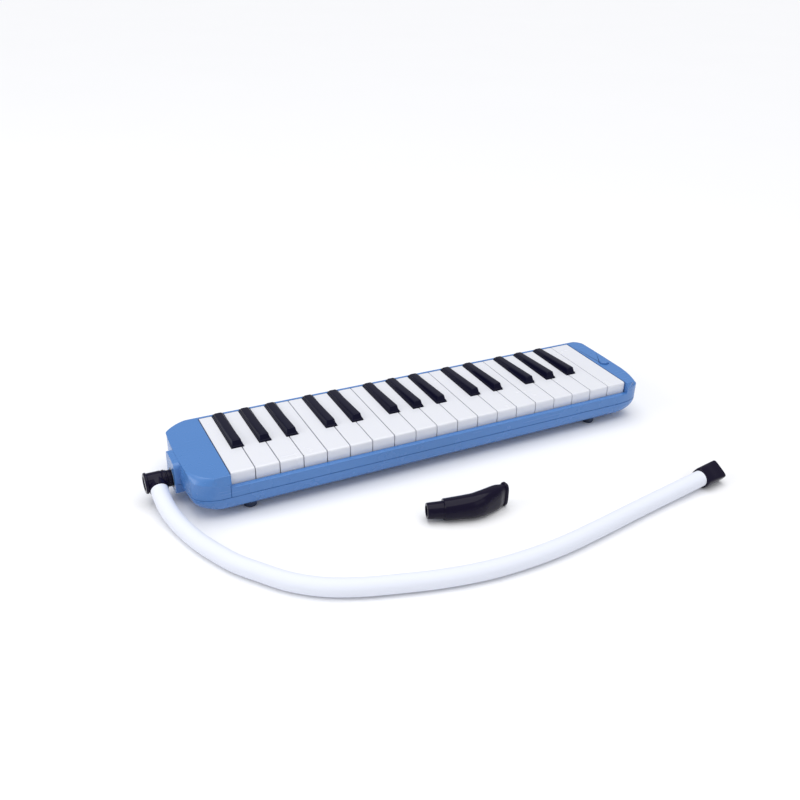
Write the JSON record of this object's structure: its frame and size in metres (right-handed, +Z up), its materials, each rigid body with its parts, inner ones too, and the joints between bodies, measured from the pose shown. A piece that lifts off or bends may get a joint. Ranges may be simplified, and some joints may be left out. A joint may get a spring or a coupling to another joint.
{
  "type": "melodica",
  "caption": "Melodica: long flat case with a row of piano keys on levers, a blowing socket at one end with a turning elbow and bent hose, and a loose short mouthpiece.",
  "frame": {"origin": "bottom centre of the box round the instrument, its feet on the floor z = 0, and the short mouthpiece lying in front of it", "axes": "+X from the blowing end (bass) to the treble end, +Y from the player to the back, +Z up"},
  "size_m": [0.4306, 0.239, 0.0415],
  "materials": {
    "blue_plastic": "semi-gloss moulded plastic",
    "white_plastic": "semi-gloss moulded plastic",
    "black_plastic": "glossy moulded plastic",
    "grey_plastic": "matte moulded plastic",
    "reed_brass": "satin sheet",
    "steel": "satin",
    "green_felt": "felt",
    "navy_rubber": "matte",
    "grey_silicone": "matte",
    "milky_tubing": "soft milky translucent tube"
  },
  "bodies": {
    "case": {"bass_front_foot": "navy_rubber", "bass_rear_foot": "navy_rubber", "bass_reed_plate": "reed_brass", "case_screw_1": "steel", "case_screw_2": "steel", "case_screw_3": "steel", "case_screw_4": "steel", "chest_gasket": "grey_silicone", "drain_spring": "steel", "inlet_socket": "grey_plastic", "key_deck": "grey_plastic", "key_spring_comb": "steel", "key_stop_felt": "green_felt", "lower_case": "blue_plastic", "pivot_rod": "steel", "treble_front_foot": "navy_rubber", "treble_rear_foot": "navy_rubber", "treble_reed_plate": "reed_brass", "upper_case": "blue_plastic", "wind_chest": "grey_plastic", "wind_duct": "grey_plastic"},
    "black_key_01_lever": {"black_key_01": "black_plastic"},
    "black_key_02_lever": {"black_key_02": "black_plastic"},
    "black_key_03_lever": {"black_key_03": "black_plastic"},
    "black_key_04_lever": {"black_key_04": "black_plastic"},
    "black_key_05_lever": {"black_key_05": "black_plastic"},
    "black_key_06_lever": {"black_key_06": "black_plastic"},
    "black_key_07_lever": {"black_key_07": "black_plastic"},
    "black_key_08_lever": {"black_key_08": "black_plastic"},
    "black_key_09_lever": {"black_key_09": "black_plastic"},
    "black_key_10_lever": {"black_key_10": "black_plastic"},
    "black_key_11_lever": {"black_key_11": "black_plastic"},
    "black_key_12_lever": {"black_key_12": "black_plastic"},
    "black_key_13_lever": {"black_key_13": "black_plastic"},
    "white_key_01_lever": {"white_key_01": "white_plastic"},
    "white_key_02_lever": {"white_key_02": "white_plastic"},
    "white_key_03_lever": {"white_key_03": "white_plastic"},
    "white_key_04_lever": {"white_key_04": "white_plastic"},
    "white_key_05_lever": {"white_key_05": "white_plastic"},
    "white_key_06_lever": {"white_key_06": "white_plastic"},
    "white_key_07_lever": {"white_key_07": "white_plastic"},
    "white_key_08_lever": {"white_key_08": "white_plastic"},
    "white_key_09_lever": {"white_key_09": "white_plastic"},
    "white_key_10_lever": {"white_key_10": "white_plastic"},
    "white_key_11_lever": {"white_key_11": "white_plastic"},
    "white_key_12_lever": {"white_key_12": "white_plastic"},
    "white_key_13_lever": {"white_key_13": "white_plastic"},
    "white_key_14_lever": {"white_key_14": "white_plastic"},
    "white_key_15_lever": {"white_key_15": "white_plastic"},
    "white_key_16_lever": {"white_key_16": "white_plastic"},
    "white_key_17_lever": {"white_key_17": "white_plastic"},
    "white_key_18_lever": {"white_key_18": "white_plastic"},
    "white_key_19_lever": {"white_key_19": "white_plastic"},
    "drain_plunger": {"drain_button": "blue_plastic", "drain_valve": "grey_silicone"},
    "elbow_seal": {"elbow_seal_ring": "grey_silicone"},
    "hose_set": {"elbow_connector": "black_plastic", "hose": "milky_tubing", "hose_mouthpiece": "black_plastic"},
    "loose_mouthpiece": {"short_mouthpiece": "black_plastic"}
  },
  "joints": [
    {"name": "white_key_01_press", "type": "hinge", "parent": "case", "child": "white_key_01_lever", "pos_m": [-0.16145, 0.0633, 0.0285], "axis": [1, 0, 0], "range_deg": [0, 3.2], "stiffness_Nm_per_rad": 0.4, "springref_deg": -5.73},
    {"name": "black_key_01_press", "type": "hinge", "parent": "case", "child": "black_key_01_lever", "pos_m": [-0.15499, 0.0633, 0.0285], "axis": [1, 0, 0], "range_deg": [0, 3.2], "stiffness_Nm_per_rad": 0.4, "springref_deg": -5.73},
    {"name": "white_key_02_press", "type": "hinge", "parent": "case", "child": "white_key_02_lever", "pos_m": [-0.14245, 0.0633, 0.0285], "axis": [1, 0, 0], "range_deg": [0, 3.2], "stiffness_Nm_per_rad": 0.4, "springref_deg": -5.73},
    {"name": "black_key_02_press", "type": "hinge", "parent": "case", "child": "black_key_02_lever", "pos_m": [-0.13295, 0.0633, 0.0285], "axis": [1, 0, 0], "range_deg": [0, 3.2], "stiffness_Nm_per_rad": 0.4, "springref_deg": -5.73},
    {"name": "white_key_03_press", "type": "hinge", "parent": "case", "child": "white_key_03_lever", "pos_m": [-0.12345, 0.0633, 0.0285], "axis": [1, 0, 0], "range_deg": [0, 3.2], "stiffness_Nm_per_rad": 0.4, "springref_deg": -5.73},
    {"name": "black_key_03_press", "type": "hinge", "parent": "case", "child": "black_key_03_lever", "pos_m": [-0.11091, 0.0633, 0.0285], "axis": [1, 0, 0], "range_deg": [0, 3.2], "stiffness_Nm_per_rad": 0.4, "springref_deg": -5.73},
    {"name": "white_key_04_press", "type": "hinge", "parent": "case", "child": "white_key_04_lever", "pos_m": [-0.10445, 0.0633, 0.0285], "axis": [1, 0, 0], "range_deg": [0, 3.2], "stiffness_Nm_per_rad": 0.4, "springref_deg": -5.73},
    {"name": "white_key_05_press", "type": "hinge", "parent": "case", "child": "white_key_05_lever", "pos_m": [-0.08545, 0.0633, 0.0285], "axis": [1, 0, 0], "range_deg": [0, 3.2], "stiffness_Nm_per_rad": 0.4, "springref_deg": -5.73},
    {"name": "black_key_04_press", "type": "hinge", "parent": "case", "child": "black_key_04_lever", "pos_m": [-0.07785, 0.0633, 0.0285], "axis": [1, 0, 0], "range_deg": [0, 3.2], "stiffness_Nm_per_rad": 0.4, "springref_deg": -5.73},
    {"name": "white_key_06_press", "type": "hinge", "parent": "case", "child": "white_key_06_lever", "pos_m": [-0.06645, 0.0633, 0.0285], "axis": [1, 0, 0], "range_deg": [0, 3.2], "stiffness_Nm_per_rad": 0.4, "springref_deg": -5.73},
    {"name": "black_key_05_press", "type": "hinge", "parent": "case", "child": "black_key_05_lever", "pos_m": [-0.05505, 0.0633, 0.0285], "axis": [1, 0, 0], "range_deg": [0, 3.2], "stiffness_Nm_per_rad": 0.4, "springref_deg": -5.73},
    {"name": "white_key_07_press", "type": "hinge", "parent": "case", "child": "white_key_07_lever", "pos_m": [-0.04745, 0.0633, 0.0285], "axis": [1, 0, 0], "range_deg": [0, 3.2], "stiffness_Nm_per_rad": 0.4, "springref_deg": -5.73},
    {"name": "white_key_08_press", "type": "hinge", "parent": "case", "child": "white_key_08_lever", "pos_m": [-0.02845, 0.0633, 0.0285], "axis": [1, 0, 0], "range_deg": [0, 3.2], "stiffness_Nm_per_rad": 0.4, "springref_deg": -5.73},
    {"name": "black_key_06_press", "type": "hinge", "parent": "case", "child": "black_key_06_lever", "pos_m": [-0.02199, 0.0633, 0.0285], "axis": [1, 0, 0], "range_deg": [0, 3.2], "stiffness_Nm_per_rad": 0.4, "springref_deg": -5.73},
    {"name": "white_key_09_press", "type": "hinge", "parent": "case", "child": "white_key_09_lever", "pos_m": [-0.00945, 0.0633, 0.0285], "axis": [1, 0, 0], "range_deg": [0, 3.2], "stiffness_Nm_per_rad": 0.4, "springref_deg": -5.73},
    {"name": "black_key_07_press", "type": "hinge", "parent": "case", "child": "black_key_07_lever", "pos_m": [0.00005, 0.0633, 0.0285], "axis": [1, 0, 0], "range_deg": [0, 3.2], "stiffness_Nm_per_rad": 0.4, "springref_deg": -5.73},
    {"name": "white_key_10_press", "type": "hinge", "parent": "case", "child": "white_key_10_lever", "pos_m": [0.00955, 0.0633, 0.0285], "axis": [1, 0, 0], "range_deg": [0, 3.2], "stiffness_Nm_per_rad": 0.4, "springref_deg": -5.73},
    {"name": "black_key_08_press", "type": "hinge", "parent": "case", "child": "black_key_08_lever", "pos_m": [0.02209, 0.0633, 0.0285], "axis": [1, 0, 0], "range_deg": [0, 3.2], "stiffness_Nm_per_rad": 0.4, "springref_deg": -5.73},
    {"name": "white_key_11_press", "type": "hinge", "parent": "case", "child": "white_key_11_lever", "pos_m": [0.02855, 0.0633, 0.0285], "axis": [1, 0, 0], "range_deg": [0, 3.2], "stiffness_Nm_per_rad": 0.4, "springref_deg": -5.73},
    {"name": "white_key_12_press", "type": "hinge", "parent": "case", "child": "white_key_12_lever", "pos_m": [0.04755, 0.0633, 0.0285], "axis": [1, 0, 0], "range_deg": [0, 3.2], "stiffness_Nm_per_rad": 0.4, "springref_deg": -5.73},
    {"name": "black_key_09_press", "type": "hinge", "parent": "case", "child": "black_key_09_lever", "pos_m": [0.05515, 0.0633, 0.0285], "axis": [1, 0, 0], "range_deg": [0, 3.2], "stiffness_Nm_per_rad": 0.4, "springref_deg": -5.73},
    {"name": "white_key_13_press", "type": "hinge", "parent": "case", "child": "white_key_13_lever", "pos_m": [0.06655, 0.0633, 0.0285], "axis": [1, 0, 0], "range_deg": [0, 3.2], "stiffness_Nm_per_rad": 0.4, "springref_deg": -5.73},
    {"name": "black_key_10_press", "type": "hinge", "parent": "case", "child": "black_key_10_lever", "pos_m": [0.07795, 0.0633, 0.0285], "axis": [1, 0, 0], "range_deg": [0, 3.2], "stiffness_Nm_per_rad": 0.4, "springref_deg": -5.73},
    {"name": "white_key_14_press", "type": "hinge", "parent": "case", "child": "white_key_14_lever", "pos_m": [0.08555, 0.0633, 0.0285], "axis": [1, 0, 0], "range_deg": [0, 3.2], "stiffness_Nm_per_rad": 0.4, "springref_deg": -5.73},
    {"name": "white_key_15_press", "type": "hinge", "parent": "case", "child": "white_key_15_lever", "pos_m": [0.10455, 0.0633, 0.0285], "axis": [1, 0, 0], "range_deg": [0, 3.2], "stiffness_Nm_per_rad": 0.4, "springref_deg": -5.73},
    {"name": "black_key_11_press", "type": "hinge", "parent": "case", "child": "black_key_11_lever", "pos_m": [0.11101, 0.0633, 0.0285], "axis": [1, 0, 0], "range_deg": [0, 3.2], "stiffness_Nm_per_rad": 0.4, "springref_deg": -5.73},
    {"name": "white_key_16_press", "type": "hinge", "parent": "case", "child": "white_key_16_lever", "pos_m": [0.12355, 0.0633, 0.0285], "axis": [1, 0, 0], "range_deg": [0, 3.2], "stiffness_Nm_per_rad": 0.4, "springref_deg": -5.73},
    {"name": "black_key_12_press", "type": "hinge", "parent": "case", "child": "black_key_12_lever", "pos_m": [0.13305, 0.0633, 0.0285], "axis": [1, 0, 0], "range_deg": [0, 3.2], "stiffness_Nm_per_rad": 0.4, "springref_deg": -5.73},
    {"name": "white_key_17_press", "type": "hinge", "parent": "case", "child": "white_key_17_lever", "pos_m": [0.14255, 0.0633, 0.0285], "axis": [1, 0, 0], "range_deg": [0, 3.2], "stiffness_Nm_per_rad": 0.4, "springref_deg": -5.73},
    {"name": "black_key_13_press", "type": "hinge", "parent": "case", "child": "black_key_13_lever", "pos_m": [0.15509, 0.0633, 0.0285], "axis": [1, 0, 0], "range_deg": [0, 3.2], "stiffness_Nm_per_rad": 0.4, "springref_deg": -5.73},
    {"name": "white_key_18_press", "type": "hinge", "parent": "case", "child": "white_key_18_lever", "pos_m": [0.16155, 0.0633, 0.0285], "axis": [1, 0, 0], "range_deg": [0, 3.2], "stiffness_Nm_per_rad": 0.4, "springref_deg": -5.73},
    {"name": "white_key_19_press", "type": "hinge", "parent": "case", "child": "white_key_19_lever", "pos_m": [0.18055, 0.0633, 0.0285], "axis": [1, 0, 0], "range_deg": [0, 3.2], "stiffness_Nm_per_rad": 0.4, "springref_deg": -5.73},
    {"name": "drain_push", "type": "slide", "parent": "case", "child": "drain_plunger", "axis": [0, 0, -1], "range_m": [0, 0.002], "stiffness_N_per_m": 300, "springref_m": -0.003, "deforming": ["drain_spring"]},
    {"name": "elbow_pull", "type": "slide", "parent": "case", "child": "elbow_seal", "axis": [-1, 0, 0], "range_m": [0, 0.02]},
    {"name": "elbow_turn", "type": "hinge", "parent": "elbow_seal", "child": "hose_set", "pos_m": [-0.21695, 0.0373, 0.0175], "axis": [1, 0, 0], "range_deg": [-90, 0]},
    {"name": "mouthpiece_lift", "type": "slide", "parent": "case", "child": "loose_mouthpiece", "axis": [0, 0, 1], "range_m": [0, 0.05]}
  ]
}
